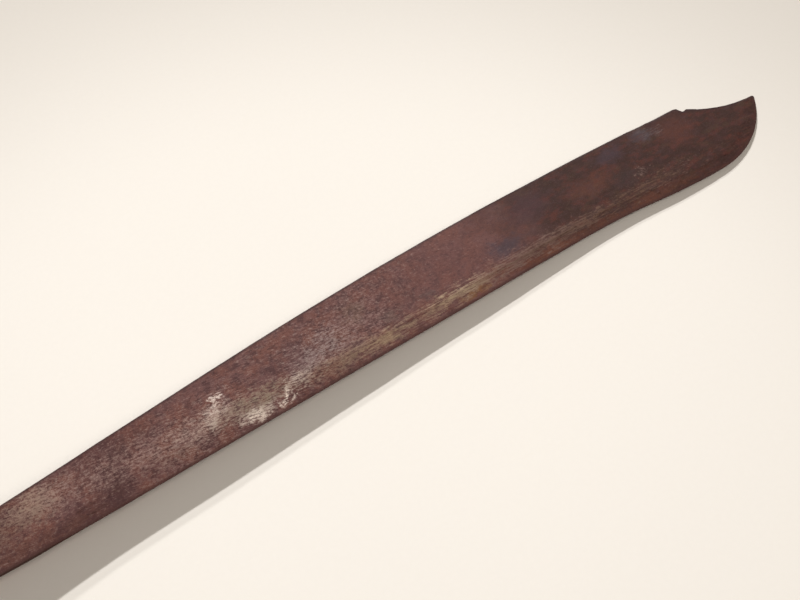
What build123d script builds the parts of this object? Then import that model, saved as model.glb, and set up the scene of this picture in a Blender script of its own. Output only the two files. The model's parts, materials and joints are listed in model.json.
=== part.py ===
"""Hand sickle of the straight corn-knife pattern: one steel blade with a full tang, two riveted wooden scales.

X runs along the tool to the tip, Y from the cutting edge to the spine, and Z out of the blade's flat.
The origin is the middle of the grip, halfway through the steel. All sizes are in millimetres.
"""

import os
from math import acos, degrees, radians, sin

from build123d import *

# Overall lengths: the grip, and the blade from the front of the grip to the tip
grip_length = 134.0
blade_length = 563.5

# Steel: thickness of the tang and of the blade at the grip, at the tip, and left at the cutting edge
steel_thickness = 3.0
tip_thickness = 2.0
edge_thickness = 0.4

# Neck, where the blade leaves the grip, measured up and down from the grip's axis
neck_spine = 12.0
neck_edge = 12.5

# Spine: a straight rise from the grip, then one long arc over its highest point to the clip
rise_length = 173.0
rise_height = 25.65
peak_before_tip = 185.0
peak_height = 34.05
spine_end_before_tip = 50.4
spine_end_height = 30.2

# Notch where the spine breaks into the clip
notch_wall_run = 2.2
notch_floor_height = 25.4
notch_lip_run = 5.4
notch_lip_height = 26.0
notch_round = 0.9
spine_end_round = 2.6

# Clip and tip: a hollow arc down to a tip above the grip's axis
clip_radius = 77.7
tip_height = 12.2
tip_round = 1.2

# Cutting edge: a long heel arc, a straight, a shallow drop, then the round belly up to the tip
heel_length = 118.0
edge_depth = 15.0
drop_length = 99.0
belly_depth = 20.9
belly_radius = 66.2

# Bevel ground on both sides of the edge, and the arc on which it runs out at the heel
bevel_width = 12.0
bevel_runout_radius = 80.0
bevel_overrun = 2.0
bevel_tip_overrun = 10.0

# Scales: the two halves of the grip
scale_thickness = 11.0
scale_round = 7.0
ramp_run = 9.0
ramp_toe = 2.4

# Outline of the grip, shared by the scales and the tang
swell_depth = 16.8
waist_before_butt = 35.0
waist_depth = 12.8
beak_depth = 23.5
beak_round = 8.5
beak_angle = 40.0
butt_height = 16.2
butt_lean = 3.0
butt_round = 14.0
back_height = 15.2

# Rivets through both scales and the tang, each with a burr let into the wood on both sides
rivet_count = 5
rivet_front_margin = 17.0
rivet_butt_margin = 29.0
rivet_radius = 2.0
rivet_clearance = 0.05
rivet_head_radius = 3.1
rivet_head_height = 0.6
burr_radius = 4.5
burr_thickness = 1.0
burr_clearance = 0.05
head_below_wood = 0.1

# Hole to hang the tool by
hang_hole_radius = 3.0
hang_hole_before_butt = 13.0

# Places worked out from the sizes above
front_x = grip_length / 2
butt_x = -grip_length / 2
tip_x = front_x + blade_length
steel_half = steel_thickness / 2
wood_face = steel_half + scale_thickness
head_top = wood_face - head_below_wood
burr_top = head_top - rivet_head_height
burr_seat = burr_top - burr_thickness
hang_hole_x = butt_x + hang_hole_before_butt
neck_top = (front_x, neck_spine)
neck_bottom = (front_x, -neck_edge)
heel_end = Vector(front_x + heel_length, -edge_depth)
tip = (tip_x, tip_height)


def rivet_places():
    """Stations of the rivets along the grip, evenly spaced from the front one to the back one."""
    first = front_x - rivet_front_margin
    last = butt_x + rivet_butt_margin
    pitch = (first - last) / (rivet_count - 1)
    return [first - number * pitch for number in range(rivet_count)]


def grip_outline():
    """Flat outline of the grip: palm swell, waist and hooked beak below, a gentle arc above."""
    waist = (butt_x + waist_before_butt, -waist_depth)
    swell = ((front_x + waist[0]) / 2, -swell_depth)
    beak_centre = (butt_x + beak_round, beak_round - beak_depth)
    butt_top = (butt_x + butt_lean, butt_height)
    palm = ThreePointArc(neck_bottom, swell, waist)
    beak = CenterArc(beak_centre, beak_round, -beak_angle, beak_angle - 180)
    hook = Spline(waist, beak @ 0, tangents=(palm % 1, beak % 0))
    butt = TangentArc(beak @ 1, butt_top, tangent=(0, 1))
    back = ThreePointArc(butt_top, (0, back_height), neck_top)
    front = Line(neck_top, neck_bottom)
    outline = make_face([palm, hook, beak, butt, back, front])
    return fillet(outline.vertices().sort_by_distance(butt_top)[0], butt_round)


def belly_sweep():
    """Angle of the belly's arc, in degrees, from its lowest point up to the tip."""
    return degrees(acos(1 - (belly_depth + tip_height) / belly_radius))


def edge_curve(overrun=0.0):
    """The cutting edge from the end of the heel to the tip, as curves that meet smoothly.

    An overrun, in degrees, carries the belly's arc on past the tip.
    """
    lowest = Vector(tip_x - belly_radius * sin(radians(belly_sweep())), -belly_depth)
    drop_start = Vector(lowest.X - drop_length, -edge_depth)
    drop_middle = (lowest + drop_start) / 2
    straight = Line(heel_end, drop_start)
    drop_over = TangentArc(drop_start, drop_middle, tangent=(1, 0))
    drop_under = TangentArc(drop_middle, lowest, tangent=drop_over % 1)
    belly = CenterArc(lowest + Vector(0, belly_radius), belly_radius, -90, belly_sweep() + overrun)
    return [straight, drop_over, drop_under, belly]


def blade_outline():
    """Flat outline of the blade in front of the grip."""
    rise_end = (front_x + rise_length, rise_height)
    peak = (tip_x - peak_before_tip, peak_height)
    spine_end = (tip_x - spine_end_before_tip, spine_end_height)
    notch_floor = (spine_end[0] + notch_wall_run, notch_floor_height)
    notch_lip = (spine_end[0] + notch_lip_run, notch_lip_height)
    curves = [
        Line(neck_top, rise_end),
        ThreePointArc(rise_end, peak, spine_end),
        Line(spine_end, notch_floor),
        Line(notch_floor, notch_lip),
        RadiusArc(tip, notch_lip, clip_radius),
        *edge_curve(),
        TangentArc(heel_end, neck_bottom, tangent=(-1, 0)),
        Line(neck_bottom, neck_top),
    ]
    outline = make_face(curves)
    outline = fillet(outline.vertices().sort_by_distance(tip)[0], tip_round)
    outline = fillet(outline.vertices().sort_by_distance(spine_end)[0], spine_end_round)
    return fillet(outline.vertices().sort_by_distance(notch_floor)[0], notch_round)


def bevel_cutter():
    """The steel ground off one side of the edge, deep enough for the full thickness, with its run-out at the heel."""
    slope = (steel_half - edge_thickness / 2) / bevel_width
    reach = bevel_width + bevel_overrun
    runout_angle = degrees(acos(1 - reach / bevel_runout_radius))
    runout_centre = heel_end - Vector(0, bevel_runout_radius)
    runout = CenterArc(runout_centre, bevel_runout_radius, 90 + runout_angle, -runout_angle)
    path = Wire([runout, *edge_curve(bevel_tip_overrun)])
    outside = (bevel_overrun, edge_thickness / 2 - bevel_overrun * slope)
    inside = (-reach, edge_thickness / 2 + reach * slope)
    section = Polyline(outside, inside, (outside[0], inside[1]), close=True)
    along = path % 0
    start = Plane(origin=path @ 0, x_dir=along.cross(Vector(0, 0, 1)), z_dir=along)
    return sweep(start * make_face(section), path=path)


def grip_holes(radius, height):
    """Rods that drill the rivet holes and the hanging hole through the grip."""
    rods = [Pos(place, 0) * Cylinder(radius, height) for place in rivet_places()]
    rods.append(Pos(hang_hole_x, 0) * Cylinder(hang_hole_radius, height))
    return rods


def make_blade():
    """Blade and full tang in one piece: tapered towards the tip, bevelled on both sides, drilled for the grip."""
    tip_half = tip_thickness / 2
    side = Polyline(
        (front_x, -steel_half),
        (tip_x, -tip_half),
        (tip_x, tip_half),
        (front_x, steel_half),
        close=True,
    )
    width = 2 * (peak_height + belly_depth)
    taper = extrude(Plane.XZ * make_face(side), amount=width / 2, both=True)
    underside = Pos(0, 0, -steel_half)
    body = underside * extrude(blade_outline(), amount=steel_thickness) & taper
    tang = underside * extrude(grip_outline(), amount=steel_thickness)
    cutter = bevel_cutter()
    blade = body + tang - cutter - mirror(cutter, about=Plane.XY)
    return blade - grip_holes(rivet_radius + rivet_clearance, 2 * steel_thickness)


def make_upper_scale():
    """Wooden half of the grip on the +Z side, with its rounded long edges, front ramp and seats for the burrs."""
    block = Pos(0, 0, steel_half) * extrude(grip_outline(), amount=scale_thickness)
    outer_edges = block.edges().group_by(Axis.Z)[-1]
    rounded = [edge for edge in outer_edges if edge.center().X < front_x - edge.length / 100]
    block = fillet(rounded, scale_round)
    ramp = Polyline(
        (front_x - ramp_run, wood_face),
        (front_x, steel_half + ramp_toe),
        (front_x + ramp_run, steel_half + ramp_toe),
        (front_x + ramp_run, wood_face + ramp_toe),
        (front_x - ramp_run, wood_face + ramp_toe),
        close=True,
    )
    block -= extrude(Plane.XZ * make_face(ramp), amount=grip_length, both=True)
    block -= grip_holes(rivet_radius + rivet_clearance, 4 * wood_face)
    seat_height = wood_face - burr_seat
    for place in rivet_places():
        seat_middle = burr_seat + seat_height / 2
        block -= Pos(place, 0, seat_middle) * Cylinder(burr_radius + burr_clearance, seat_height)
    return block


def make_rivet():
    """A rivet peened over both burrs: a plain shank with a low domed head at each end."""
    shank = Cylinder(rivet_radius, 2 * burr_top)
    dome_radius = (rivet_head_radius**2 + rivet_head_height**2) / (2 * rivet_head_height)
    dome = Pos(0, 0, head_top - dome_radius) * Sphere(dome_radius)
    above_burr = Pos(0, 0, burr_top + rivet_head_height) * Cylinder(rivet_head_radius, 2 * rivet_head_height)
    head = dome & above_burr
    return shank + head + mirror(head, about=Plane.XY)


def make_upper_burr():
    """Washer under the upper head of a rivet."""
    disc = Cylinder(burr_radius, burr_thickness)
    hole = Cylinder(rivet_radius + rivet_clearance, 2 * burr_thickness)
    return Pos(0, 0, burr_seat + burr_thickness / 2) * (disc - hole)


def main():
    """Write each piece of the tool to its own file."""
    upper_scale = make_upper_scale()
    pieces = {
        "blade": make_blade(),
        "upper_scale": upper_scale,
        "lower_scale": mirror(upper_scale, about=Plane.XY),
    }
    rivet = make_rivet()
    upper_burr = make_upper_burr()
    for number, place in enumerate(rivet_places(), start=1):
        pieces[f"rivet_{number}"] = Pos(place, 0) * rivet
        pieces[f"burr_upper_{number}"] = Pos(place, 0) * upper_burr
        pieces[f"burr_lower_{number}"] = Pos(place, 0) * mirror(upper_burr, about=Plane.XY)
    os.makedirs("parts", exist_ok=True)
    for name, piece in pieces.items():
        export_step(piece, f"parts/{name}.step")


main()
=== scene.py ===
import json
from math import cos, radians, sin

import bpy
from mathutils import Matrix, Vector, kdtree, noise

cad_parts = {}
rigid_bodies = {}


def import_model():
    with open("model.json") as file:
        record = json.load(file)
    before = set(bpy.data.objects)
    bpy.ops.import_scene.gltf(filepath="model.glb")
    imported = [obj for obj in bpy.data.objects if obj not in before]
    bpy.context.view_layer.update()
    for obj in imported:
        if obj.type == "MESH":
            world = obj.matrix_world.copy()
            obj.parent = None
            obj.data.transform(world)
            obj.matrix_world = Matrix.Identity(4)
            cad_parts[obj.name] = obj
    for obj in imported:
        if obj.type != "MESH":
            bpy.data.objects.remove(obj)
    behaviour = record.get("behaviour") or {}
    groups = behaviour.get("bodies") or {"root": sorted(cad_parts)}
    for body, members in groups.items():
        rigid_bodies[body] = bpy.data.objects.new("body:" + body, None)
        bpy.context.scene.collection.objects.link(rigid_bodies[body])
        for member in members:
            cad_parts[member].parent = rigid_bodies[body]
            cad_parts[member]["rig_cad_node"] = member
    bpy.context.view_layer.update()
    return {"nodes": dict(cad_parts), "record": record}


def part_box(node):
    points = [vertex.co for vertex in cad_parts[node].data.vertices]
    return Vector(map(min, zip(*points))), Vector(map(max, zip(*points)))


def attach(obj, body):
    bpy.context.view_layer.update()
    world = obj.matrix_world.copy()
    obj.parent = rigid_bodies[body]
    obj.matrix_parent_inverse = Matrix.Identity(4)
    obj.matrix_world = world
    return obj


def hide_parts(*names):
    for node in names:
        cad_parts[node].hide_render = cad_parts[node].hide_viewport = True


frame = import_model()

bladeLow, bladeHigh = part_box("blade")
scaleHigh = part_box("upper_scale")[1]
gripFront = scaleHigh.x
woodFace = scaleHigh.z
tipX = bladeHigh.x
mountPlaces = {mount["name"]: Vector(mount["pos_m"]) for mount in frame["record"]["mounts"]}
hangHole = mountPlaces["hang_hole"]
rivetNumbers = sorted(int(name.split("_")[1]) for name in frame["nodes"] if name.startswith("rivet_"))
weldDistance = 2e-6         # points of a CAD copy closer than this are one point
flatAngle = radians(0.03)   # its faces that turn less than this become one face
smoothAngle = radians(38)   # corners sharper than this stay sharp in the shading


def deselectAll():
    if bpy.context.object and bpy.context.object.mode != "OBJECT":
        bpy.ops.object.mode_set(mode="OBJECT")
    bpy.ops.object.select_all(action="DESELECT")


def takeUp(piece):
    deselectAll()
    piece.select_set(True)
    bpy.context.view_layer.objects.active = piece


def copyOfNode(node, name):
    takeUp(frame["nodes"][node])
    bpy.ops.object.duplicate()
    piece = bpy.context.object
    piece.name = name
    piece.data.name = name
    piece.data.materials.clear()
    del piece["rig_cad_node"]   # from here on it is a piece of its own
    bpy.ops.mesh.customdata_custom_splitnormals_clear()
    bpy.ops.object.mode_set(mode="EDIT")
    bpy.ops.mesh.select_all(action="SELECT")
    bpy.ops.mesh.remove_doubles(threshold=weldDistance)
    bpy.ops.mesh.dissolve_limited(angle_limit=flatAngle)
    bpy.ops.object.mode_set(mode="OBJECT")
    return piece


def cutAcross(piece, axis, start, stop, step):
    # plain cuts through the whole mesh, square to one axis
    takeUp(piece)
    bpy.ops.object.mode_set(mode="EDIT")
    square = [1.0 if number == axis else 0.0 for number in range(3)]
    for number in range(int((stop - start) / step) + 1):
        bpy.ops.mesh.select_all(action="SELECT")
        place = [(start + number * step) * side for side in square]
        bpy.ops.mesh.bisect(plane_co=place, plane_no=square)
    bpy.ops.object.mode_set(mode="OBJECT")


def applyModifier(piece, kind, **settings):
    takeUp(piece)
    modifier = piece.modifiers.new(kind.title(), kind)
    for key, value in settings.items():
        setattr(modifier, key, value)
    bpy.ops.object.modifier_apply(modifier=modifier.name)


def cloudTexture(name, size, depth=2):
    texture = bpy.data.textures.new(name, "CLOUDS")
    texture.noise_scale = size
    texture.noise_depth = depth
    return texture


def weigh(piece, name, weights):
    group = piece.vertex_groups.new(name=name)
    for number, weight in enumerate(weights):
        if weight > 0.001:
            group.add([number], weight, "REPLACE")
    return name


def storeValue(piece, name, values):
    attribute = piece.data.attributes.new(name, "FLOAT", "POINT")
    attribute.data.foreach_set("value", values)


def ramp(value, low, high):
    return min(1.0, max(0.0, (value - low) / (high - low)))


def softRamp(value, low, high):
    part = ramp(value, low, high)
    return part * part * (3 - 2 * part)


def nearest(points, places):
    tree = kdtree.KDTree(len(points))
    for number, point in enumerate(points):
        tree.insert(point, number)
    tree.balance()
    return [tree.find(place)[2] for place in places]


def finishPiece(piece, material, slot, *nodes):
    piece.data.materials.clear()
    piece.data.materials.append(material)
    takeUp(piece)
    bpy.ops.object.shade_smooth_by_angle(angle=smoothAngle)
    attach(piece, "root")
    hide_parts(*nodes)


def tone(red, green, blue):
    # a tone from 0 to 255 as the linear colour that a node takes
    def linear(part):
        return part / 12.92 if part <= 0.04045 else ((part + 0.055) / 1.055) ** 2.4
    return (linear(red / 255), linear(green / 255), linear(blue / 255), 1.0)


def addNode(tree, kind, inputs=None, **settings):
    node = tree.nodes.new(kind if kind.startswith("Node") else "ShaderNode" + kind)
    for key, value in settings.items():
        setattr(node, key, value)
    for key, value in (inputs or {}).items():
        if isinstance(value, bpy.types.NodeSocket):
            tree.links.new(value, node.inputs[key])
        else:
            node.inputs[key].default_value = value
    return node


def sums(tree, operation, *values):
    return addNode(tree, "Math", dict(enumerate(values)), operation=operation).outputs[0]


def product(tree, first, second):
    return sums(tree, "MULTIPLY", first, second)


def blendTones(tree, factor, low, high, way="MIX"):
    node = addNode(tree, "Mix", {0: factor, 6: low, 7: high}, data_type="RGBA", blend_type=way)
    return node.outputs[2]


def blendValues(tree, factor, low, high):
    return addNode(tree, "Mix", {0: factor, 2: low, 3: high}, data_type="FLOAT").outputs[0]


def step(tree, value, low, high, start=0.0, end=1.0):
    inputs = {0: value, 1: low, 2: high, 3: start, 4: end}
    return addNode(tree, "MapRange", inputs, interpolation_type="SMOOTHSTEP").outputs[0]


def stretched(tree, vector, sizes, turn=0.0):
    inputs = {0: vector, "Rotation": (0, 0, turn), "Scale": sizes}
    return addNode(tree, "Mapping", inputs, vector_type="TEXTURE").outputs[0]


def cloud(tree, vector, size, detail=3.0, roughness=0.55, distortion=0.0):
    inputs = {"Vector": vector, "Scale": 1 / size, "Detail": detail, "Roughness": roughness,
              "Distortion": distortion}
    return addNode(tree, "TexNoise", inputs).outputs[0]


def startGroup(name, inputs, outputs):
    group = bpy.data.node_groups.new(name, "ShaderNodeTree")
    for label, kind, value in inputs:
        socket = group.interface.new_socket(name=label, in_out="INPUT", socket_type="NodeSocket" + kind)
        socket.default_value = value
    for label, kind in outputs:
        group.interface.new_socket(name=label, in_out="OUTPUT", socket_type="NodeSocket" + kind)
    return group, addNode(group, "NodeGroupInput").outputs, addNode(group, "NodeGroupOutput").inputs


def placeGroup(tree, group, **inputs):
    node = addNode(tree, "Group", node_tree=group)
    for label, value in inputs.items():
        socket = node.inputs[label]
        if isinstance(value, bpy.types.NodeSocket):
            tree.links.new(value, socket)
        else:
            socket.default_value = value
    return node.outputs


def addBump(tree, shader, height, depth, strength=1.0):
    # depth is in mm
    bump = addNode(tree, "Bump", {"Height": height, "Distance": depth / 1000, "Strength": strength})
    tree.links.new(bump.outputs[0], shader.inputs["Normal"])


def startMaterial(name):
    material = bpy.data.materials.new(name)
    material.use_nodes = True
    tree = material.node_tree
    place = addNode(tree, "TexCoord").outputs["Object"]
    inMillimetres = addNode(tree, "VectorMath", {0: place, "Scale": 1000.0}, operation="SCALE").outputs[0]
    return material, tree, tree.nodes["Principled BSDF"], inMillimetres


def makePlacedPatch():
    # an oval patch at a place on the work, faded at its border
    inputs = (("Vector", "Vector", (0, 0, 0)), ("Place", "Vector", (0, 0, 0)), ("Reach", "Vector", (1, 1, 1)),
              ("Turn", "Vector", (0, 0, 0)), ("Fade", "Float", 0.5))
    group, given, result = startGroup("placedPatch", inputs, (("Mask", "Float"),))
    inside = addNode(group, "Mapping", {0: given["Vector"], "Location": given["Place"],
                     "Rotation": given["Turn"], "Scale": given["Reach"]}, vector_type="TEXTURE").outputs[0]
    distance = addNode(group, "VectorMath", {0: inside}, operation="LENGTH").outputs["Value"]
    outer = sums(group, "ADD", 1.0, given["Fade"])
    inner = sums(group, "SUBTRACT", 1.0, given["Fade"])
    mask = step(group, distance, inner, outer, 1.0, 0.0)
    group.links.new(mask, result["Mask"])
    return group


def makeRubbedThrough():
    # where the top layer is rubbed off the high grain: more rubbing, more and larger spots
    inputs = (("Grain", "Float", 0.5), ("Amount", "Float", 0.3), ("Crispness", "Float", 0.12))
    group, given, result = startGroup("rubbedThrough", inputs, (("Mask", "Float"),))
    level = sums(group, "MULTIPLY_ADD", given["Amount"], -0.75, 1.05)
    low = sums(group, "SUBTRACT", level, given["Crispness"])
    high = sums(group, "ADD", level, given["Crispness"])
    spread = addNode(group, "MapRange", {0: given["Grain"], 1: 0.3, 2: 0.7}).outputs[0]
    mask = step(group, spread, low, high)
    group.links.new(mask, result["Mask"])
    return group


def makeGrimeAndDust():
    # dark grime that gathers in hollows and patches, and pale dust on what faces up
    inputs = (("Vector", "Vector", (0, 0, 0)), ("Hollow", "Float", 0.0), ("Patch Size", "Float", 12.0))
    outputs = (("Grime", "Float"), ("Dust", "Float"))
    group, given, result = startGroup("grimeAndDust", inputs, outputs)
    scaled = addNode(group, "VectorMath", {0: given["Vector"], 1: given["Patch Size"]},
                     operation="DIVIDE").outputs[0]
    patches = cloud(group, scaled, 1.0, 4.0, 0.6)
    fine = cloud(group, given["Vector"], 0.7, 3.0, 0.65)
    gathered = sums(group, "ADD", patches, product(group, given["Hollow"], 0.45))
    grime = step(group, sums(group, "ADD", gathered, product(group, fine, 0.25)), 0.66, 0.95)
    up = addNode(group, "SeparateXYZ", {0: addNode(group, "NewGeometry").outputs["Normal"]}).outputs[2]
    dust = product(group, step(group, up, 0.3, 1.0), step(group, fine, 0.5, 0.75))
    group.links.new(grime, result["Grime"])
    group.links.new(dust, result["Dust"])
    return group


placedPatch = makePlacedPatch()
rubbedThrough = makeRubbedThrough()
grimeAndDust = makeGrimeAndDust()
print("shared effects ready:", len(bpy.data.node_groups))


bladeFinish = dict(
    mauve=tone(102, 69, 66), redBrown=tone(110, 69, 60), darkPurple=tone(72, 43, 43),
    steel=tone(138, 112, 104), speckTone=tone(60, 38, 37), streakTone=tone(84, 50, 39),
    # the spine tone paints shade along the spine's corner
    edgeTone=tone(66, 40, 36), spineShadeTone=tone(54, 34, 35), tangTone=tone(70, 47, 38),
    grimeTone=tone(56, 38, 34), dustTone=tone(190, 172, 160),
    tipBrown=tone(48, 26, 18), tipRed=tone(76, 36, 26), tipOlive=tone(64, 43, 29), tipGrey=tone(64, 44, 42),
    # sizes of the patterns, in mm
    broadSize=40.0, patchSize=13.0, mottleSize=4.2, grainSize=1.5, grimeSize=22.0,
    strokeSize=(3.0, 0.8, 1.0), strokeTurn=-9, streakSize=(11.0, 1.2, 1.0), cloudSize=(10.0, 5.5, 1.0),
    wanderSize=5.0, wanderReach=(22.0, 13.0, 0.0),
    # stretches along X, in mm
    tang=(62, 76),          # the tang goes in between the scales
    calm=(350, 415),        # the coarse speckle calms down
    darker=(435, 500),      # the dark far end begins
    streaky=(285, 360),     # the ground band turns streaky
    # where strokes along the blade show most: x, y, half length, half width
    brushed=(268, 0, 40, 26),
    # distances from the edge and from the spine at which a band fades, in metres
    groundBand=(0.0125, 0.017), edgeLine=(0.0005, 0.0024), spineLine=(0.0005, 0.0022),
    rustRoughness=0.64, steelRoughness=0.46, steelShine=0.45, specular=0.14, grainHeight=0.05,
)

# rubbed places on the upper flat where bare steel shows, the palest of them painted highlights (glints): x,
# y, half length, half width in mm, turn in degrees, rubbing, tone, fade
rubbedAndGlintPlaces = (
    (148, 9, 13, 8, 0, 0.30, tone(170, 144, 126), 0.9),
    (138, 3, 15, 9, 0, 0.12, tone(138, 114, 100), 0.9),
    (176, 8, 20, 12, 0, 0.14, tone(146, 120, 112), 0.9),
    (205, 4, 30, 12, 0, 0.14, tone(152, 126, 116), 0.9),
    (236, -1, 16, 9, 0, 0.14, tone(166, 142, 130), 0.9),
    (247.5, 10.0, 1.9, 5.4, -42, 0.27, tone(236, 219, 207), 0.95),
    (243, 3, 4, 8, -42, 0.10, tone(196, 176, 164), 0.95),
    (261, -9, 7, 3.4, 0, 0.32, tone(232, 214, 198), 0.9),
    (271, -6, 5, 3, 20, 0.20, tone(206, 188, 174), 0.95),
    (279, -8.5, 2.2, 5.0, -32, 0.44, tone(248, 230, 214), 0.85),
    (268, -1, 24, 5, 0, 0.22, tone(136, 120, 102), 0.8),
    (290, -4, 7, 6, 0, 0.20, tone(190, 172, 158), 0.95),
    (306, 6, 17, 11, 0, 0.18, tone(142, 124, 118), 0.9),
    (334, 8, 13, 13, 0, 0.12, tone(134, 108, 102), 0.9),
    (318, -7, 24, 5.0, 0, 0.14, tone(146, 122, 102), 0.9),
    (342, -8, 18, 4.0, 0, 0.20, tone(150, 126, 102), 0.9),
    (386, -7, 32, 5.5, 0, 0.26, tone(150, 126, 102), 0.8),
    (390, -5, 14, 3.6, 0, 0.22, tone(164, 142, 116), 0.9),
    (440, -6, 36, 6, 0, 0.46, tone(112, 88, 78), 0.8),
    (512, -7, 56, 6, 0, 0.50, tone(104, 78, 64), 0.8),
    (555, 23, 8, 5, -20, 0.44, tone(98, 82, 80), 0.7),
    (529, 4, 5.5, 3.5, 0, 0.44, tone(116, 92, 84), 0.7),
)

# patches of other rust on the upper flat: x, y, half length, half width in mm, strength, tone
rustPlaces = (
    (122, 4, 14, 22, 0.6, tone(84, 54, 46)),
    (150, -12, 34, 6, 0.7, tone(80, 50, 43)),
    (183, -6, 9, 9, 0.7, tone(72, 46, 47)),
    (176, 10, 5, 8, 0.4, tone(84, 58, 58)),
    (319, 7, 4, 4, 0.7, tone(108, 64, 50)),
    (385, 14, 46, 19, 0.6, tone(104, 66, 61)),
    (412, -6, 9, 2, 0.8, tone(104, 54, 38)),
    (397, -10.5, 8, 2, 0.8, tone(122, 84, 50)),
    (428, 5, 10, 5, 0.8, tone(68, 56, 64)),
    (446, -12, 23, 2.4, 0.8, tone(104, 60, 42)),
    (456, 20, 13, 9, 0.6, tone(70, 46, 50)),
    (498, 12, 16, 6, 0.5, tone(98, 55, 42)),
    (333, 15, 6, 7, 0.5, tone(106, 88, 76)),
    (298, 3, 8, 5, 0.5, tone(112, 90, 90)),
    (349, 2, 5, 4, 0.5, tone(90, 77, 71)),
    (374, 3, 5, 3, 0.5, tone(90, 77, 75)),
    (548, 25, 7, 4, 0.6, tone(82, 74, 80)),
    (521, 24, 9, 5, 0.7, tone(66, 50, 58)),
    (518, 5, 8, 5, 0.7, tone(54, 40, 38)),
    (568, 17, 11, 10, 0.65, tone(90, 50, 40)),
    (503, -15, 44, 3.4, 0.8, tone(96, 57, 42)),
)


def makeBladeMaterial():
    finish = bladeFinish
    material, tree, shader, place = startMaterial("rustedSteel")
    x, y, z = addNode(tree, "SeparateXYZ", {0: place}).outputs
    upper = sums(tree, "GREATER_THAN", z, 0.0)
    # both flats get a pattern of their own
    apart = sums(tree, "MULTIPLY_ADD", upper, 90.0, z)
    shifted = addNode(tree, "CombineXYZ", {0: x, 1: y, 2: apart}).outputs[0]
    fromEdge = addNode(tree, "Attribute", attribute_name="fromEdge").outputs["Fac"]
    fromSpine = addNode(tree, "Attribute", attribute_name="fromSpine").outputs["Fac"]

    broad = cloud(tree, shifted, finish["broadSize"], 3.0, 0.5)
    patchy = cloud(tree, shifted, finish["patchSize"], 4.0, 0.6)
    mottled = cloud(tree, shifted, finish["mottleSize"], 4.0, 0.62)
    grain = cloud(tree, shifted, finish["grainSize"], 5.0, 0.78)
    strokePlace = stretched(tree, shifted, finish["strokeSize"], radians(finish["strokeTurn"]))
    strokes = cloud(tree, strokePlace, 1.0, 4.0, 0.78)
    streaks = cloud(tree, stretched(tree, shifted, finish["streakSize"]), 1.0, 4.0, 0.7, 0.4)
    calm = step(tree, sums(tree, "MULTIPLY_ADD", patchy, 30.0, x), *finish["calm"])

    # placed patches: their borders wander with the noise, and they keep off the lower flat
    wander = addNode(tree, "TexNoise", {"Vector": shifted, "Scale": 1 / finish["wanderSize"], "Detail": 4.0,
                     "Roughness": 0.7}).outputs["Color"]
    wander = addNode(tree, "VectorMath", {0: wander, 1: (0.5, 0.5, 0.5)}, operation="SUBTRACT").outputs[0]
    moved = addNode(tree, "VectorMath", {0: wander, 1: finish["wanderReach"], 2: place},
                    operation="MULTIPLY_ADD").outputs[0]
    moved = addNode(tree, "SeparateXYZ", {0: moved}).outputs
    side = sums(tree, "MULTIPLY_ADD", upper, -900.0, 900.0)
    patchPlace = addNode(tree, "CombineXYZ", {0: moved[0], 1: moved[1], 2: side}).outputs[0]

    def patch(x, y, length, width, fade, turn=0):
        return placeGroup(tree, placedPatch, Vector=patchPlace, Place=(x, y, 0), Fade=fade,
                          Reach=(length, width, 9), Turn=(0, 0, radians(turn)))["Mask"]

    farEnd = step(tree, sums(tree, "MULTIPLY_ADD", patchy, 60.0, x), *finish["darker"])
    rust = blendTones(tree, step(tree, patchy, 0.38, 0.62), finish["mauve"], finish["redBrown"])
    rust = blendTones(tree, step(tree, broad, 0.50, 0.75, 0.0, 0.6), rust, finish["darkPurple"])
    # the far end is darker, with long soft clouds of red, olive and grey
    clouds = addNode(tree, "TexNoise", {"Vector": stretched(tree, shifted, finish["cloudSize"]), "Scale": 1.0,
                     "Detail": 5.0, "Roughness": 0.62}).outputs["Color"]
    redCloud, oliveCloud, greyCloud = addNode(tree, "SeparateColor", {0: clouds}).outputs
    farRust = blendTones(tree, step(tree, redCloud, 0.46, 0.66), finish["tipBrown"], finish["tipRed"])
    farRust = blendTones(tree, step(tree, oliveCloud, 0.50, 0.68, 0.0, 0.8), farRust, finish["tipOlive"])
    farRust = blendTones(tree, step(tree, greyCloud, 0.55, 0.72, 0.0, 0.8), farRust, finish["tipGrey"])
    rust = blendTones(tree, product(tree, farEnd, 0.92), rust, farRust)
    for *oval, strength, colour in rustPlaces:
        rust = blendTones(tree, product(tree, patch(*oval, 0.7), strength), rust, colour)
    darkMottle = blendValues(tree, calm, 0.75, 0.4)
    rust = blendTones(tree, product(tree, step(tree, mottled, 0.56, 0.34), darkMottle), rust,
                      finish["darkPurple"])
    brushed = patch(*finish["brushed"], 0.5)
    speckle = blendValues(tree, sums(tree, "MULTIPLY_ADD", brushed, 0.2, 0.5), grain, strokes)
    darkSpeckle = product(tree, step(tree, speckle, 0.50, 0.36), blendValues(tree, calm, 0.8, 0.62))
    rust = blendTones(tree, darkSpeckle, rust, finish["speckTone"])
    rust = blendTones(tree, step(tree, x, *finish["tang"], 0.75, 0.0), rust, finish["tangTone"])

    # bare steel in the rubbed places, with painted highlights (glints) in the palest of them
    steel = finish["steel"]
    amount = step(tree, broad, 0.32, 0.68, 0.50, 0.34)
    amount = product(tree, amount, sums(tree, "MULTIPLY_ADD", calm, -0.35, 1.0))
    amount = product(tree, amount, sums(tree, "MULTIPLY_ADD", farEnd, -0.6, 1.0))
    for *oval, turn, rubbing, colour, fade in rubbedAndGlintPlaces:
        mask = patch(*oval, fade, turn)
        amount = sums(tree, "MULTIPLY_ADD", mask, rubbing, amount)
        steel = blendTones(tree, mask, steel, colour)
    groundBand = step(tree, fromEdge, *finish["groundBand"], 1.0, 0.0)
    streaky = product(tree, groundBand, step(tree, x, *finish["streaky"]))
    relief = blendValues(tree, product(tree, streaky, 0.55), speckle, streaks)
    bareAndGlint = placeGroup(tree, rubbedThrough, Grain=relief, Amount=amount, Crispness=0.24)["Mask"]

    colour = blendTones(tree, bareAndGlint, rust, steel)
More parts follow.
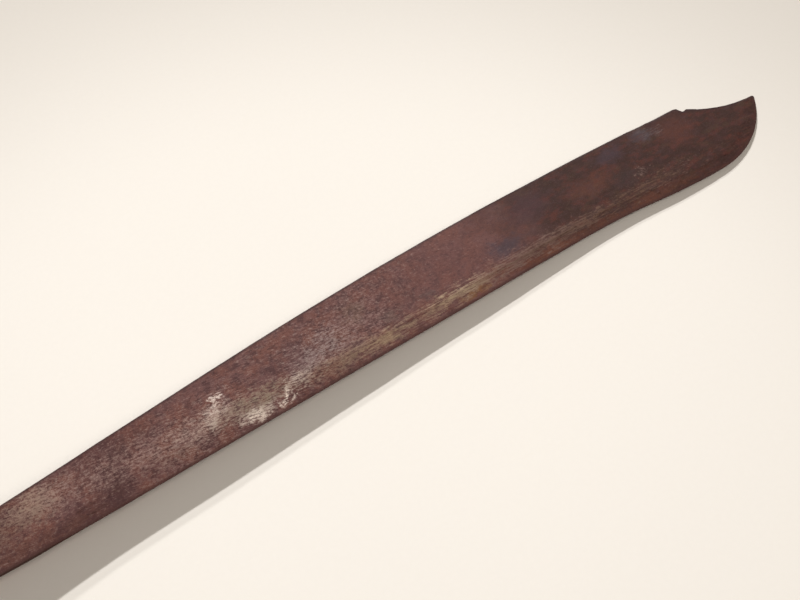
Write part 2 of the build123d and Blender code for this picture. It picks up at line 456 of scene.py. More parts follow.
    # a dark line along the very edge, a painted shade line along the spine's lit corner, and dark streaks in
    # the ground band
    edgeLine = product(tree, step(tree, fromEdge, *finish["edgeLine"], 1.0, 0.0), 0.8)
    colour = blendTones(tree, edgeLine, colour, finish["edgeTone"])
    # painted shade: the spine's corner is darkened where the light catches it
    spineLine = product(tree, step(tree, fromSpine, *finish["spineLine"], 1.0, 0.0), 0.85)
    colour = blendTones(tree, spineLine, colour, finish["spineShadeTone"])
    darkStreaks = product(tree, streaky, step(tree, streaks, 0.46, 0.36, 0.0, 0.6))
    colour = blendTones(tree, darkStreaks, colour, finish["streakTone"])
    dirt = placeGroup(tree, grimeAndDust, Vector=shifted, **{"Patch Size": finish["grimeSize"]})
    colour = blendTones(tree, product(tree, dirt["Grime"], 0.35), colour, finish["grimeTone"])
    colour = blendTones(tree, product(tree, dirt["Dust"], 0.06), colour, finish["dustTone"])

    tree.links.new(colour, shader.inputs["Base Color"])
    roughness = blendValues(tree, bareAndGlint, finish["rustRoughness"], finish["steelRoughness"])
    roughness = sums(tree, "MULTIPLY_ADD", mottled, 0.16, roughness)
    tree.links.new(sums(tree, "SUBTRACT", roughness, 0.08), shader.inputs["Roughness"])
    tree.links.new(product(tree, bareAndGlint, finish["steelShine"]), shader.inputs["Metallic"])
    shader.inputs["Specular IOR Level"].default_value = finish["specular"]
    height = sums(tree, "ADD", relief, product(tree, bareAndGlint, 0.3))
    height = sums(tree, "MULTIPLY_ADD", mottled, 0.8, height)
    addBump(tree, shader, height, finish["grainHeight"])
    return material


bladeShape = dict(
    grid=0.004, gridStart=0.001, levels=2,      # cuts, then each cell is divided twice
    # which corners are rounded: the turn, the lowest y, the least z, the shortest edge, a slack at the
    # grip, and no rounding between two distances from the tip, where the notch is
    cornerRound=0.00035, cornerAngle=radians(50), cornerHeight=0.0095, cornerLevel=0.0008,
    shortestCorner=0.0001, gripSlack=0.0005, notch=(0.0535, 0.0440),
    hairline=0.0001, sliver=0.0002, keepNearWalls=0.0008, keepNearGrip=0.002,
    # where each weight fades in or out: from the grip, from the edge, from the spine
    ahead=(0.001, 0.03), edgeBand=0.006, spineBand=0.01, thick=(0.002, 0.008),
    bevelStart=(0.002, 0.006), bevelEnd=(0.018, 0.026), bevelSoftening=80,
    forgingSize=0.060, forgingDepth=0.0006,     # slow unevenness of the flats
    hammerSize=0.012, hammerDepth=0.00014,
    pitSize=0.0022, pitDepth=0.00012,
    edgeSize=0.016, edgeDepth=0.00035,          # the worn line of the cutting edge
    spineSize=0.030, spineDepth=0.0003,
)


def selectSpineCorners(piece):
    # the long corners of the spine, in front of the grip
    shape = bladeShape
    notchStart, notchEnd = shape["notch"]
    mesh = piece.data
    facesOf = {}
    for face in mesh.polygons:
        for key in face.edge_keys:
            facesOf.setdefault(key, []).append(face.normal)
    for edge in mesh.edges:
        start, end = (mesh.vertices[number].co for number in edge.vertices)
        normals = facesOf.get(edge.key, [])
        ahead = min(start.x, end.x) > gripFront - shape["gripSlack"]
        long = (start - end).length > shape["shortestCorner"]
        corner = len(normals) == 2 and normals[0].angle(normals[1], 0.0) > shape["cornerAngle"]
        level = (start.z > 0) == (end.z > 0) and min(abs(start.z), abs(end.z)) > shape["cornerLevel"]
        above = min(start.y, end.y) > shape["cornerHeight"]
        atNotch = tipX - max(start.x, end.x) < notchStart and tipX - min(start.x, end.x) > notchEnd
        edge.select = ahead and long and corner and level and above and not atNotch


def measureBlade(piece):
    # how far each point is from the cutting edge's side and from the spine's side
    below, above = [], []
    mesh = piece.data
    for face in mesh.polygons:
        if abs(face.normal.z) < 0.3 and face.center.x > gripFront + bladeShape["gripSlack"]:
            (below if face.normal.y < 0 else above).append(face.center.copy())
    places = [vertex.co for vertex in mesh.vertices]
    fromEdge = nearest(below, places)
    fromSpine = nearest(above, places)
    storeValue(piece, "fromEdge", fromEdge)
    storeValue(piece, "fromSpine", fromSpine)
    return fromEdge, fromSpine


def mergeSlivers(piece):
    # where cuts run close beside an older edge, the points between them are merged:
    # hairlines everywhere, and wider slivers in the flats alone
    takeUp(piece)
    bpy.ops.object.mode_set(mode="EDIT")
    bpy.ops.mesh.select_mode(type="VERT")
    bpy.ops.mesh.select_all(action="SELECT")
    bpy.ops.mesh.remove_doubles(threshold=bladeShape["hairline"])
    bpy.ops.mesh.select_all(action="DESELECT")
    bpy.ops.object.mode_set(mode="OBJECT")
    vertices = piece.data.vertices
    walls = set()
    for face in piece.data.polygons:
        if abs(face.normal.z) < 0.5 or face.center.x < gripFront + bladeShape["keepNearGrip"]:
            walls.update(face.vertices)
    inwards = nearest([vertices[number].co for number in walls], [vertex.co for vertex in vertices])
    for vertex, distance in zip(vertices, inwards):
        vertex.select = distance > bladeShape["keepNearWalls"]
    bpy.ops.object.mode_set(mode="EDIT")
    bpy.ops.mesh.remove_doubles(threshold=bladeShape["sliver"])
    bpy.ops.object.mode_set(mode="OBJECT")


def makeBlade(material):
    shape = bladeShape
    piece = copyOfNode("blade", "bladeSteel")
    takeUp(piece)
    bpy.ops.object.mode_set(mode="EDIT")
    bpy.ops.mesh.select_mode(type="EDGE")
    bpy.ops.mesh.select_all(action="DESELECT")
    bpy.ops.object.mode_set(mode="OBJECT")
    selectSpineCorners(piece)
    bpy.ops.object.mode_set(mode="EDIT")
    bpy.ops.mesh.bevel(offset=shape["cornerRound"], segments=2, affect="EDGES")
    bpy.ops.object.mode_set(mode="OBJECT")
    cutAcross(piece, 0, gripFront + shape["gridStart"], tipX, shape["grid"])
    cutAcross(piece, 1, bladeLow.y + shape["gridStart"], bladeHigh.y, shape["grid"])
    mergeSlivers(piece)
    levels = shape["levels"]
    applyModifier(piece, "SUBSURF", subdivision_type="SIMPLE", levels=levels, render_levels=levels)
    fromEdge, fromSpine = measureBlade(piece)
    start, end = shape["ahead"]
    ahead = [softRamp(vertex.co.x, gripFront + start, gripFront + end) for vertex in piece.data.vertices]
    weigh(piece, "flats", ahead)
    for band, distances in (("edgeBand", fromEdge), ("spineBand", fromSpine)):
        weigh(piece, band, [part * (1 - ramp(far, 0, shape[band])) for part, far in zip(ahead, distances)])
    weigh(piece, "thick", [part * ramp(far, *shape["thick"]) for part, far in zip(ahead, fromEdge)])
    # the ground bevel runs into the flat without a hard line
    blend = [part * ramp(far, *shape["bevelStart"]) * (1 - ramp(far, *shape["bevelEnd"]))
             for part, far in zip(ahead, fromEdge)]
    weigh(piece, "bevelTop", blend)
    applyModifier(piece, "SMOOTH", factor=0.5, iterations=shape["bevelSoftening"], use_x=False, use_y=False,
                  vertex_group="bevelTop")
    for name, size, depth, direction, group in (
            ("forging", shape["forgingSize"], shape["forgingDepth"], "Z", "flats"),
            ("hammer", shape["hammerSize"], shape["hammerDepth"], "NORMAL", "thick"),
            ("pits", shape["pitSize"], shape["pitDepth"], "NORMAL", "thick"),
            ("edgeLine", shape["edgeSize"], shape["edgeDepth"], "Y", "edgeBand"),
            ("spineLine", shape["spineSize"], shape["spineDepth"], "Y", "spineBand")):
        applyModifier(piece, "DISPLACE", texture=cloudTexture(name, size), strength=depth, mid_level=0.5,
                      direction=direction, vertex_group=group)
    finishPiece(piece, material, "blade_steel", "blade")
    return piece


bladeSteel = makeBlade(makeBladeMaterial())
print("blade:", len(bladeSteel.data.polygons), "faces")


woodFinish = dict(
    heart=tone(96, 60, 36), pale=tone(134, 92, 56), darkRing=tone(66, 39, 24), pore=tone(34, 21, 14),
    worn=tone(152, 112, 74), stainTone=tone(50, 31, 21),
    grimeTone=tone(30, 21, 16), dustTone=tone(186, 172, 156),
    # sizes of the patterns, in mm, and how far apart the two scales lie in them
    ringGap=4.2, ringWander=4.0, broadSize=30.0, stainSize=(9.0, 3.0, 3.0), grimeSize=9.0,
    apart=(240.0, 37.0),
    roughness=0.5, handWornRoughness=0.36, specular=0.35, grainHeight=0.16,
)


def makeWoodGrain():
    # sawn hardwood: rings that wander, long pores and fine fibres, all along the object's length
    inputs = (("Vector", "Vector", (0, 0, 0)), ("Ring Gap", "Float", 4.0), ("Wander", "Float", 5.0))
    outputs = (("Rings", "Float"), ("Pores", "Float"), ("Fibres", "Float"))
    group, given, result = startGroup("woodGrain", inputs, outputs)

    def alongGrain(length, width):
        # the vector squeezed along the object, so that what is round in it comes out long
        squeezed = {0: given["Vector"], 1: (length, width, width)}
        return addNode(group, "VectorMath", squeezed, operation="MULTIPLY").outputs[0]

    bendInputs = {"Vector": alongGrain(0.045, 1.0), "Scale": 0.09, "Detail": 3.0}
    bend = addNode(group, "TexNoise", bendInputs).outputs[0]
    x, y, z = addNode(group, "SeparateXYZ", {0: given["Vector"]}).outputs
    across = sums(group, "MULTIPLY_ADD", z, 0.55, y)
    across = sums(group, "MULTIPLY_ADD", bend, product(group, given["Wander"], 6.0), across)
    turns = sums(group, "DIVIDE", across, given["Ring Gap"])
    saw = sums(group, "FRACT", turns)
    early = step(group, saw, 0.0, 0.7)
    late = step(group, saw, 0.9, 1.0, 1.0, 0.0)
    rings = product(group, early, late)
    poreInputs = {"Vector": alongGrain(0.06, 1.5), "Scale": 1.5, "Detail": 2.0, "Roughness": 0.6}
    pores = addNode(group, "TexNoise", poreInputs).outputs[0]
    pores = step(group, sums(group, "MULTIPLY_ADD", rings, 0.07, pores), 0.60, 0.70)
    fibreInputs = {"Vector": alongGrain(0.05, 2.6), "Scale": 1.0, "Detail": 4.0, "Roughness": 0.7}
    fibres = addNode(group, "TexNoise", fibreInputs).outputs[0]
    group.links.new(rings, result["Rings"])
    group.links.new(pores, result["Pores"])
    group.links.new(fibres, result["Fibres"])
    return group


def makeWoodMaterial():
    finish = woodFinish
    material, tree, shader, place = startMaterial("oiledHardwood")
    z = addNode(tree, "SeparateXYZ", {0: place}).outputs[2]
    upper = sums(tree, "GREATER_THAN", z, 0.0)
    alongApart, acrossApart = (product(tree, upper, side) for side in finish["apart"])
    offset = addNode(tree, "CombineXYZ", {0: alongApart, 1: acrossApart}).outputs[0]
    shifted = addNode(tree, "VectorMath", {0: place, 1: offset}, operation="ADD").outputs[0]
    rings = {"Ring Gap": finish["ringGap"], "Wander": finish["ringWander"]}
    grain = placeGroup(tree, woodGrain, Vector=shifted, **rings)
    wear = addNode(tree, "Attribute", attribute_name="wear").outputs["Fac"]
    hollow = addNode(tree, "Attribute", attribute_name="hollow").outputs["Fac"]
    crack = addNode(tree, "Attribute", attribute_name="crack").outputs["Fac"]
    broad = cloud(tree, shifted, finish["broadSize"], 3.0, 0.55)
    stain = cloud(tree, stretched(tree, shifted, finish["stainSize"]), 1.0, 4.0, 0.6)

    colour = blendTones(tree, grain["Rings"], finish["heart"], finish["darkRing"])
    colour = blendTones(tree, step(tree, broad, 0.35, 0.70, 0.0, 0.55), colour, finish["pale"])
    colour = blendTones(tree, step(tree, grain["Fibres"], 0.34, 0.66, 0.0, 0.45), colour, finish["darkRing"])
    colour = blendTones(tree, step(tree, stain, 0.52, 0.72, 0.0, 0.6), colour, finish["stainTone"])
    rubbed = placeGroup(tree, rubbedThrough, Grain=grain["Fibres"], Amount=product(tree, wear, 0.75),
                        Crispness=0.35)["Mask"]
    colour = blendTones(tree, product(tree, rubbed, 0.7), colour, finish["worn"])
    colour = blendTones(tree, product(tree, grain["Pores"], 0.75), colour, finish["pore"])
    dirt = placeGroup(tree, grimeAndDust, Vector=shifted, Hollow=hollow,
                      **{"Patch Size": finish["grimeSize"]})
    colour = blendTones(tree, product(tree, dirt["Grime"], 0.8), colour, finish["grimeTone"])
    colour = blendTones(tree, product(tree, crack, 0.95), colour, finish["grimeTone"])
    colour = blendTones(tree, product(tree, dirt["Dust"], 0.07), colour, finish["dustTone"])
    tree.links.new(colour, shader.inputs["Base Color"])
    roughness = blendValues(tree, wear, finish["roughness"], finish["handWornRoughness"])
    roughness = sums(tree, "MULTIPLY_ADD", dirt["Grime"], 0.2, roughness)
    roughness = sums(tree, "MULTIPLY_ADD", grain["Fibres"], 0.12, roughness)
    tree.links.new(roughness, shader.inputs["Roughness"])
    shader.inputs["Specular IOR Level"].default_value = finish["specular"]
    height = sums(tree, "MULTIPLY_ADD", grain["Pores"], -0.8, product(tree, grain["Fibres"], 0.7))
    height = sums(tree, "MULTIPLY_ADD", grain["Rings"], -0.25, height)
    height = sums(tree, "MULTIPLY_ADD", crack, -1.5, height)
    addBump(tree, shader, height, finish["grainHeight"], 0.9)
    return material


scaleShape = dict(
    fineness=0.0006, smoothing=2,
    rampRun=0.009, crest=(0.0012, 0.0034), crestSmoothing=24,   # the ridge above the front ramp is worn round
    carvedSize=0.018, carvedDepth=0.0006,       # unevenness of hand work
    grainSize=0.0011, grainStretch=14, grainDepth=0.00028,
    clearOfBurr=(0.0052, 0.0067), clearOfHole=(0.0036, 0.0060), nearBrass=(0.0045, 0.0075),
    skinStart=(0.0004, 0.002), seam=0.0012, crackDepth=0.0009,
    # drying cracks: start x, end x, y, how far they wander, half width, all in mm, and depth as a
    # share of crackDepth, which is in metres
    cracks=((67, 38, 5.5, 1.0, 0.45, 0.7), (-67, -36, 7.5, 1.0, 0.5, 0.8), (-60, -44, -9.0, 0.8, 0.4, 0.6),
            (46, 12, -7.5, 0.9, 0.35, 0.5), (20, -12, 9.0, 0.8, 0.35, 0.5)),
)


def rivetStations():
    places = []
    for number in rivetNumbers:
        low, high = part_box("rivet_%d" % number)
        places.append((low + high) / 2)
    return places


def crackDepth(place, mirrored):
    # 0 away from the cracks, up to a crack's own depth in its middle; mirrored ones lie elsewhere
    best = 0.0
    x, y = place.x * 1000, place.y * 1000
    for x0, x1, y0, wander, half, depth in scaleShape["cracks"]:
        if mirrored:
            y0 = -0.6 * y0 + 1.5
        part = (x - x0) / (x1 - x0)
        if not -0.02 < part < 1:
            continue
        line = y0 + wander * (0.8 * sin(x * 0.11 + y0) + 0.12 * sin(x * 0.9 + 2 * y0))
        width = half * (1 - max(0.0, part)) ** 0.6 + 0.05
        best = max(best, (1 - ramp(abs(y - line), 0.0, width * 2)) * depth * (1 - max(0.0, part) ** 2))
    return best


def measureScale(piece, steelFace, upperSide):
    # weights and values for the wood: outside skin, hand wear, hollows near the brass, cracks
    shape = scaleShape
    stations = rivetStations()
    skin, wear, hollow, crack = [], [], [], []
    for vertex in piece.data.vertices:
        place, normal = vertex.co, vertex.normal
        aside = min((place - station).to_2d().length for station in stations)
        clear = softRamp(aside, *shape["clearOfBurr"])
        outside = softRamp(abs(place.z), *(steelFace + far for far in shape["skinStart"]))
        skin.append(clear * outside)
        hand = noise.fractal(place * 55, 1.0, 2.0, 3) * 0.25
        edgeTurn = 1 - abs(normal.z)
        wear.append(ramp(0.25 + hand + 0.55 * edgeTurn * outside + 0.2 * sin(place.x * 40), 0.0, 1.0))
        nearBrass = 1 - ramp(aside, *shape["nearBrass"])
        seam = 1 - ramp(abs(place.z), steelFace, steelFace + shape["seam"])
        hollow.append(min(1.0, max(nearBrass, 0.8 * seam)))
        aroundHole = softRamp((place - hangHole).to_2d().length, *shape["clearOfHole"])
        depth = crackDepth(place, not upperSide) * clear * aroundHole
        crack.append(depth if abs(normal.z) > 0.25 else 0.0)
    return skin, wear, hollow, crack


def makeScale(name, node, material):
    shape = scaleShape
    piece = copyOfNode(node, name)
    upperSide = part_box(node)[1].z > 0.005
    steelFace = min(abs(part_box(node)[0].z), abs(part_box(node)[1].z))
    applyModifier(piece, "REMESH", mode="VOXEL", voxel_size=shape["fineness"], adaptivity=0.0)
    applyModifier(piece, "SMOOTH", factor=0.5, iterations=shape["smoothing"])
    crest = gripFront - shape["rampRun"]
    worn = []
    for vertex in piece.data.vertices:
        fromCrest = Vector((vertex.co.x - crest, abs(vertex.co.z) - woodFace)).length
        worn.append(1 - softRamp(fromCrest, *shape["crest"]))
    weigh(piece, "crest", worn)
    applyModifier(piece, "SMOOTH", factor=0.5, iterations=shape["crestSmoothing"], vertex_group="crest")
    skin, wear, hollow, crack = measureScale(piece, steelFace, upperSide)
    weigh(piece, "skin", skin)
    weigh(piece, "crackLine", crack)
    storeValue(piece, "wear", wear)
    storeValue(piece, "hollow", hollow)
    storeValue(piece, "crack", crack)
    applyModifier(piece, "DISPLACE", texture=cloudTexture(name + "Carved", shape["carvedSize"]),
                  strength=shape["carvedDepth"], mid_level=0.6, direction="NORMAL", vertex_group="skin")
    # the grain stands along X, so its texture is read through a long empty
    deselectAll()
    bpy.ops.object.empty_add(location=(0, 0, 0.03 if upperSide else -0.05))
    guide = bpy.context.object
    guide.scale = (shape["grainStretch"], 1, 1)
    bpy.context.view_layer.update()
    applyModifier(piece, "DISPLACE", texture=cloudTexture(name + "Grain", shape["grainSize"]),
                  strength=shape["grainDepth"], mid_level=0.6, direction="NORMAL", vertex_group="skin",
                  texture_coords="OBJECT", texture_coords_object=guide)
    bpy.data.objects.remove(guide)
    applyModifier(piece, "DISPLACE", strength=-shape["crackDepth"], mid_level=0.0, direction="NORMAL",
                  vertex_group="crackLine")
    finishPiece(piece, material, "grip_wood", node)
    return piece


woodGrain = makeWoodGrain()
oiledHardwood = makeWoodMaterial()
upperWood = makeScale("upperScaleWood", "upper_scale", oiledHardwood)
lowerWood = makeScale("lowerScaleWood", "lower_scale", oiledHardwood)
print("scales:", len(upperWood.data.polygons), "and", len(lowerWood.data.polygons), "faces")


brassFinish = dict(
    bright=tone(164, 131, 82), dull=tone(124, 96, 58), brown=tone(80, 58, 36), green=tone(78, 86, 66),
    grimeTone=tone(38, 29, 21),
    # sizes of the patterns, in mm
    patchSize=2.2, fineSize=0.35, scratchSize=(2.4, 0.12, 1.0), scratchTurn=28, grimeSize=2.6,
    brightRoughness=0.34, dullRoughness=0.55, scratchHeight=0.03,
)


def makeBrassMaterial():
    finish = brassFinish
    material, tree, shader, place = startMaterial("agedBrass")
    wear = addNode(tree, "Attribute", attribute_name="wear").outputs["Fac"]
    hollow = addNode(tree, "Attribute", attribute_name="hollow").outputs["Fac"]
    patchy = cloud(tree, place, finish["patchSize"], 4.0, 0.6)
    fine = cloud(tree, place, finish["fineSize"], 4.0, 0.7)
    scratchPlace = stretched(tree, place, finish["scratchSize"], radians(finish["scratchTurn"]))
    lines = cloud(tree, scratchPlace, 1.0, 3.0, 0.6)
    colour = blendTones(tree, step(tree, patchy, 0.35, 0.65), finish["dull"], finish["brown"])
    rubbed = placeGroup(tree, rubbedThrough, Grain=fine, Amount=sums(tree, "MULTIPLY_ADD", wear, 0.7, 0.25),
                        Crispness=0.3)["Mask"]
    colour = blendTones(tree, rubbed, colour, finish["bright"])
    dirt = placeGroup(tree, grimeAndDust, Vector=place, Hollow=hollow, **{"Patch Size": finish["grimeSize"]})
    greenRim = product(tree, hollow, step(tree, fine, 0.4, 0.6, 0.2, 0.7))
    colour = blendTones(tree, greenRim, colour, finish["green"])
    colour = blendTones(tree, product(tree, dirt["Grime"], 0.85), colour, finish["grimeTone"])
    tree.links.new(colour, shader.inputs["Base Color"])
    clean = sums(tree, "SUBTRACT", 1.0, product(tree, dirt["Grime"], 0.8))
    shine = product(tree, clean, sums(tree, "MULTIPLY_ADD", hollow, -0.5, 0.95))
    tree.links.new(shine, shader.inputs["Metallic"])
    roughness = blendValues(tree, rubbed, finish["dullRoughness"], finish["brightRoughness"])
    tree.links.new(sums(tree, "MULTIPLY_ADD", fine, 0.15, roughness), shader.inputs["Roughness"])
    height = sums(tree, "ADD", product(tree, fine, 0.6), lines)
    addBump(tree, shader, height, finish["scratchHeight"])
    return material


rivetShape = dict(
    sides=40, levels=2, shankRadius=0.002,
    wornTo=0.0031,               # the wear fades out at this radius
    # the peened head, from its foot in steps: height above the burr and radius, in mm
    footRadius=2.976,
    headSteps=((0.16, 3.10), (0.34, 2.85), (0.47, 2.35), (0.55, 1.60), (0.595, 0.75)),
    dentSize=0.0016, dentDepth=0.00012,
)
burrShape = dict(
    sides=56, levels=2, boreRadius=0.00205, rim=0.00018,
    rings=(0.25, 0.25, 0.5),     # shares of the ring's width
    wornTo=1.45,                 # the wear fades out at this many times the rivet head's radius
    dentSize=0.0017, dentDepth=0.00010,
)


def resizeRing(radiusFrom, radiusTo, place):
    factor = radiusTo / radiusFrom
    bpy.ops.transform.resize(value=(factor, factor, 1), center_override=place)


def makeRivetBlank():
    # shank with a peened head at both ends, at the first rivet's place
    shape = rivetShape
    low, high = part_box("rivet_%d" % rivetNumbers[0])
    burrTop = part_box("burr_upper_%d" % rivetNumbers[0])[1].z
    middle = (low + high) / 2
    deselectAll()
    bpy.ops.mesh.primitive_cylinder_add(vertices=shape["sides"], radius=shape["shankRadius"],
                                        depth=2 * burrTop, location=middle)
    piece = bpy.context.object
    bpy.ops.object.transform_apply(location=True, rotation=True, scale=True)
    for side in (1, -1):
        bpy.ops.object.mode_set(mode="EDIT")
        bpy.ops.mesh.select_mode(type="FACE")
        bpy.ops.mesh.select_all(action="DESELECT")
        bpy.ops.object.mode_set(mode="OBJECT")
        for face in piece.data.polygons:
            face.select = face.normal.z * side > 0.9 and face.center.z * side > 0.9 * burrTop
        bpy.ops.object.mode_set(mode="EDIT")
        level, radius = 0.0, shape["footRadius"]
        bpy.ops.mesh.extrude_region_move(TRANSFORM_OT_translate={"value": (0, 0, 0)})
        resizeRing(shape["shankRadius"] * 1000, radius, Vector((middle.x, middle.y, side * burrTop)))
        for height, nextRadius in shape["headSteps"]:
            rise = (height - level) / 1000
            bpy.ops.mesh.extrude_region_move(TRANSFORM_OT_translate={"value": (0, 0, side * rise)})
            level = height
            resizeRing(radius, nextRadius, Vector((middle.x, middle.y, side * (burrTop + level / 1000))))
            radius = nextRadius
        bpy.ops.mesh.poke()
        bpy.ops.object.mode_set(mode="OBJECT")
    return piece, middle


def makeBurrBlank():
    # washer let into the wood: a flat ring with a soft rim, made over the first upper burr
    shape = burrShape
    low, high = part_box("burr_upper_%d" % rivetNumbers[0])
    middle = (low + high) / 2
    outer = (high.x - low.x) / 2
    deselectAll()
    bpy.ops.mesh.primitive_circle_add(vertices=shape["sides"], radius=outer, fill_type="NGON",
                                      location=(middle.x, middle.y, low.z))
    piece = bpy.context.object
    bpy.ops.object.transform_apply(location=True, rotation=True, scale=True)
    bpy.ops.object.mode_set(mode="EDIT")
    bpy.ops.mesh.select_all(action="SELECT")
    for share in shape["rings"]:
        bpy.ops.mesh.inset(thickness=(outer - shape["boreRadius"]) * share)
    bpy.ops.mesh.delete(type="FACE")
    bpy.ops.mesh.select_all(action="SELECT")
    bpy.ops.mesh.extrude_region_move(TRANSFORM_OT_translate={"value": (0, 0, high.z - low.z)})
    bpy.ops.mesh.select_all(action="SELECT")
    bpy.ops.mesh.normals_make_consistent(inside=False)
    bpy.ops.object.mode_set(mode="OBJECT")
    applyModifier(piece, "BEVEL", width=shape["rim"], segments=2, limit_method="ANGLE",
                  angle_limit=radians(50))
    return piece


def hammer(piece, shape, kind):
    levels = shape["levels"]
    applyModifier(piece, "SUBSURF", subdivision_type=kind, levels=levels, render_levels=levels)
    heights = [abs(vertex.co.z) for vertex in piece.data.vertices]
    top = max(heights)
    weigh(piece, "outerFace", [softRamp(height, top - 0.0006, top - 0.0003) for height in heights])
    applyModifier(piece, "DISPLACE", texture=cloudTexture(piece.name + "Dents", shape["dentSize"]),
                  strength=shape["dentDepth"], mid_level=0.6, direction="NORMAL", vertex_group="outerFace")


def dressBrass(piece, material, middle, outer, *nodes):
    wear, hollow = [], []
    for vertex in piece.data.vertices:
        aside = (vertex.co - middle).to_2d().length
        rough = noise.fractal(vertex.co * 900, 1.0, 2.0, 2) * 0.2
        wear.append(ramp(0.8 - 0.4 * aside / outer + rough, 0, 1))
        hollow.append(ramp(aside / outer + rough, 0.90, 1.10))
    storeValue(piece, "wear", wear)
    storeValue(piece, "hollow", hollow)
    finishPiece(piece, material, "rivet_brass", *nodes)


def copyTo(blank, name, shift, flip):
    takeUp(blank)
    bpy.ops.object.duplicate()
    piece = bpy.context.object
    piece.name = name
    piece.data.name = name
    bpy.ops.object.mode_set(mode="EDIT")
    bpy.ops.mesh.select_all(action="SELECT")
    if flip:
        bpy.ops.transform.resize(value=(1, 1, -1), center_override=(0, 0, 0))
        bpy.ops.mesh.flip_normals()
    bpy.ops.transform.translate(value=shift)
    bpy.ops.object.mode_set(mode="OBJECT")
    return piece


def makeBrass(material):
    rivetBlank, first = makeRivetBlank()
    burrBlank = makeBurrBlank()
    for number in rivetNumbers:
        low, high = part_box("rivet_%d" % number)
        middle = (low + high) / 2
        shift = Vector((middle.x - first.x, middle.y - first.y, 0))
        rivet = copyTo(rivetBlank, "brassRivet%d" % number, shift, False)
        hammer(rivet, rivetShape, "CATMULL_CLARK")
        dressBrass(rivet, material, middle, rivetShape["wornTo"], "rivet_%d" % number)
        for side, flip in (("Upper", False), ("Lower", True)):
            node = "burr_%s_%d" % (side.lower(), number)
            burr = copyTo(burrBlank, "brassBurr%s%d" % (side, number), shift, flip)
            hammer(burr, burrShape, "SIMPLE")
            dressBrass(burr, material, middle, (high.x - low.x) / 2 * burrShape["wornTo"], node)
    bpy.data.objects.remove(rivetBlank)
    bpy.data.objects.remove(burrBlank)


makeBrass(makeBrassMaterial())
print("brass:", 3 * len(rivetNumbers), "pieces")


stageSet = dict(
    floorTone=tone(246, 241, 233), fibreTone=tone(226, 220, 210), patchTone=tone(236, 230, 222),
    # the tool rests on its lower scale and near its tip, this far back from the grip's front and the tip
    floorSize=90.0, restFront=0.009, restTip=0.0105, tipRise=0.00048,
    keyTurn=22.4, keyRise=28.6, keyStrength=3.3, keySpread=1.6,
    lowTurn=22.4, lowRise=23.3, lowStrength=1.35, lowSpread=2.2,
    frontTurn=-33.0 + 180.0, frontRise=60.0, frontStrength=1.03, frontSpread=40.0,
    worldTone=(0.140, 0.132, 0.123), backTone=(0.691, 0.630, 0.555), frontTone=(1.0, 0.92, 0.845),
    # painted pools of light: ovals in which the floor is palest, with painted shade beyond them: x, y, half
    # length, half width in mm, where the fall to the far tone starts and ends, and its depth
    paintedLightPools=((298, -48, 300, 270, 0.70, 1.60, 0.17), (315, 75, 380, 300, 0.20, 1.70, 0.19)),
    paintedLightTurn=-33.0,
    # the painted shade tone that the floor falls to outside the pools of light
    paintedFalloffTone=(0.10, 0.06, 0.02, 1.0),
)


def makeFloor():
    stage = stageSet
    front = Vector((gripFront - stage["restFront"], 0, -woodFace))
    far = Vector((tipX - stage["restTip"], 0, bladeLow.z + stage["tipRise"]))
    tilt = -(far - front).normalized().z
    deselectAll()
    bpy.ops.mesh.primitive_plane_add(size=stage["floorSize"], location=front, rotation=(0, tilt, 0))
    floor = bpy.context.object
    floor.name = "paleFloor"
    bpy.ops.object.transform_apply(location=True, rotation=True, scale=True)
    material, tree, shader, place = startMaterial("palePaper")
    fibres = cloud(tree, place, 2.5, 3.0, 0.6)
    broad = cloud(tree, place, 420.0, 2.0, 0.5)
    colour = blendTones(tree, step(tree, fibres, 0.3, 0.7, 0.0, 0.05), stage["floorTone"], stage["fibreTone"])
    colour = blendTones(tree, step(tree, broad, 0.4, 0.7, 0.0, 0.1), colour, stage["patchTone"])
    # painted light: the floor is palest in wide ovals around the blade, and painted darker beyond them
    for x, y, length, width, inner, outer, depth in stage["paintedLightPools"]:
        oval = addNode(tree, "Mapping", {0: place, "Location": (x, y, 0), "Scale": (length, width, 4000),
                       "Rotation": (0, 0, radians(stage["paintedLightTurn"]))}, vector_type="TEXTURE").outputs[0]
        fromLightPool = addNode(tree, "VectorMath", {0: oval}, operation="LENGTH").outputs["Value"]
        colour = blendTones(tree, step(tree, fromLightPool, inner, outer, 0.0, depth), colour, stage["paintedFalloffTone"])
    tree.links.new(colour, shader.inputs["Base Color"])
    shader.inputs["Roughness"].default_value = 0.9
    shader.inputs["Specular IOR Level"].default_value = 0.1
    floor.data.materials.append(material)


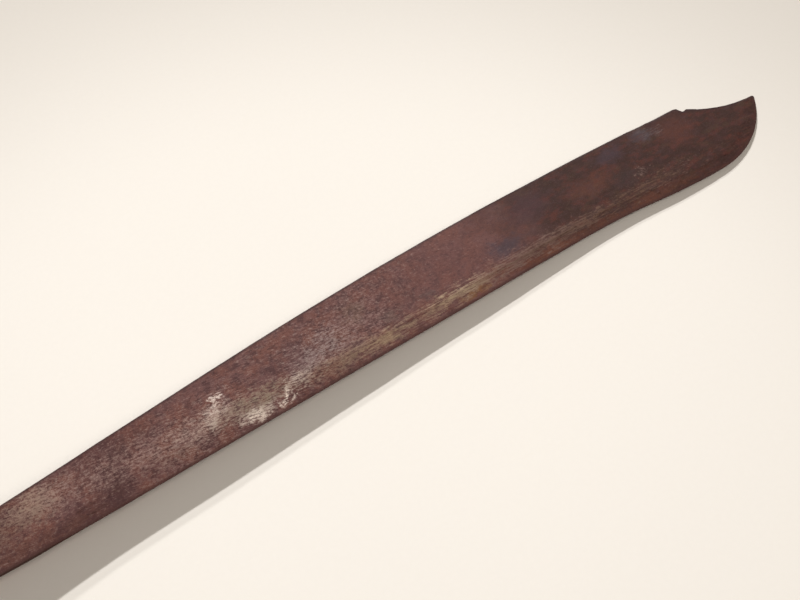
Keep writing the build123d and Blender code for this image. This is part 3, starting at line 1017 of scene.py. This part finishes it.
def makeSun(name):
    # turn is from +Y towards +X, rise is above the floor
    turn, rise = radians(stageSet[name + "Turn"]), radians(stageSet[name + "Rise"])
    towards = Vector((sin(turn) * cos(rise), cos(turn) * cos(rise), sin(rise)))
    deselectAll()
    bpy.ops.object.light_add(type="SUN", location=towards * 3)
    sun = bpy.context.object
    sun.name = name + "Light"
    sun.data.energy = stageSet[name + "Strength"]
    sun.data.angle = radians(stageSet[name + "Spread"])
    sun.data.color = stageSet.get(name + "Tone", (1, 1, 1))
    sun.rotation_euler = towards.to_track_quat("Z", "Y").to_euler()


def makeWorld():
    world = bpy.data.worlds.new("studio")
    bpy.context.scene.world = world
    world.use_nodes = True
    tree = world.node_tree
    tree.nodes.clear()
    lit = addNode(tree, "Background", {"Color": (*stageSet["worldTone"], 1), "Strength": 1.0}).outputs[0]
    seen = addNode(tree, "Background", {"Color": (*stageSet["backTone"], 1), "Strength": 1.0}).outputs[0]
    camera = addNode(tree, "LightPath").outputs["Is Camera Ray"]
    mixed = addNode(tree, "MixShader", {0: camera, 1: lit, 2: seen}).outputs[0]
    addNode(tree, "OutputWorld", {"Surface": mixed})


cameraSet = dict(
    aheadOfGrip=0.2921, aboveAxis=0.0085,                       # what it looks at
    azimuth=-33.06, elevation=60.0, distance=0.4799, lens=39.15,
)


def makeCamera():
    view = cameraSet
    target = Vector((gripFront + view["aheadOfGrip"], view["aboveAxis"], 0))
    turn, rise = radians(view["azimuth"]), radians(view["elevation"])
    back = Vector((sin(turn) * cos(rise), -cos(turn) * cos(rise), sin(rise)))
    deselectAll()
    bpy.ops.object.camera_add(location=target + back * view["distance"])
    camera = bpy.context.object
    camera.name = "workCamera"
    camera.rotation_euler = (-back).to_track_quat("-Z", "Y").to_euler()
    camera.data.lens = view["lens"]
    camera.data.sensor_width = 36
    camera.data.clip_start = 0.01
    bpy.context.scene.camera = camera


makeFloor()
makeSun("key")
makeSun("low")
makeSun("front")
makeWorld()
makeCamera()
bpy.context.scene.view_settings.view_transform = "Standard"
print("floor, light and camera ready")
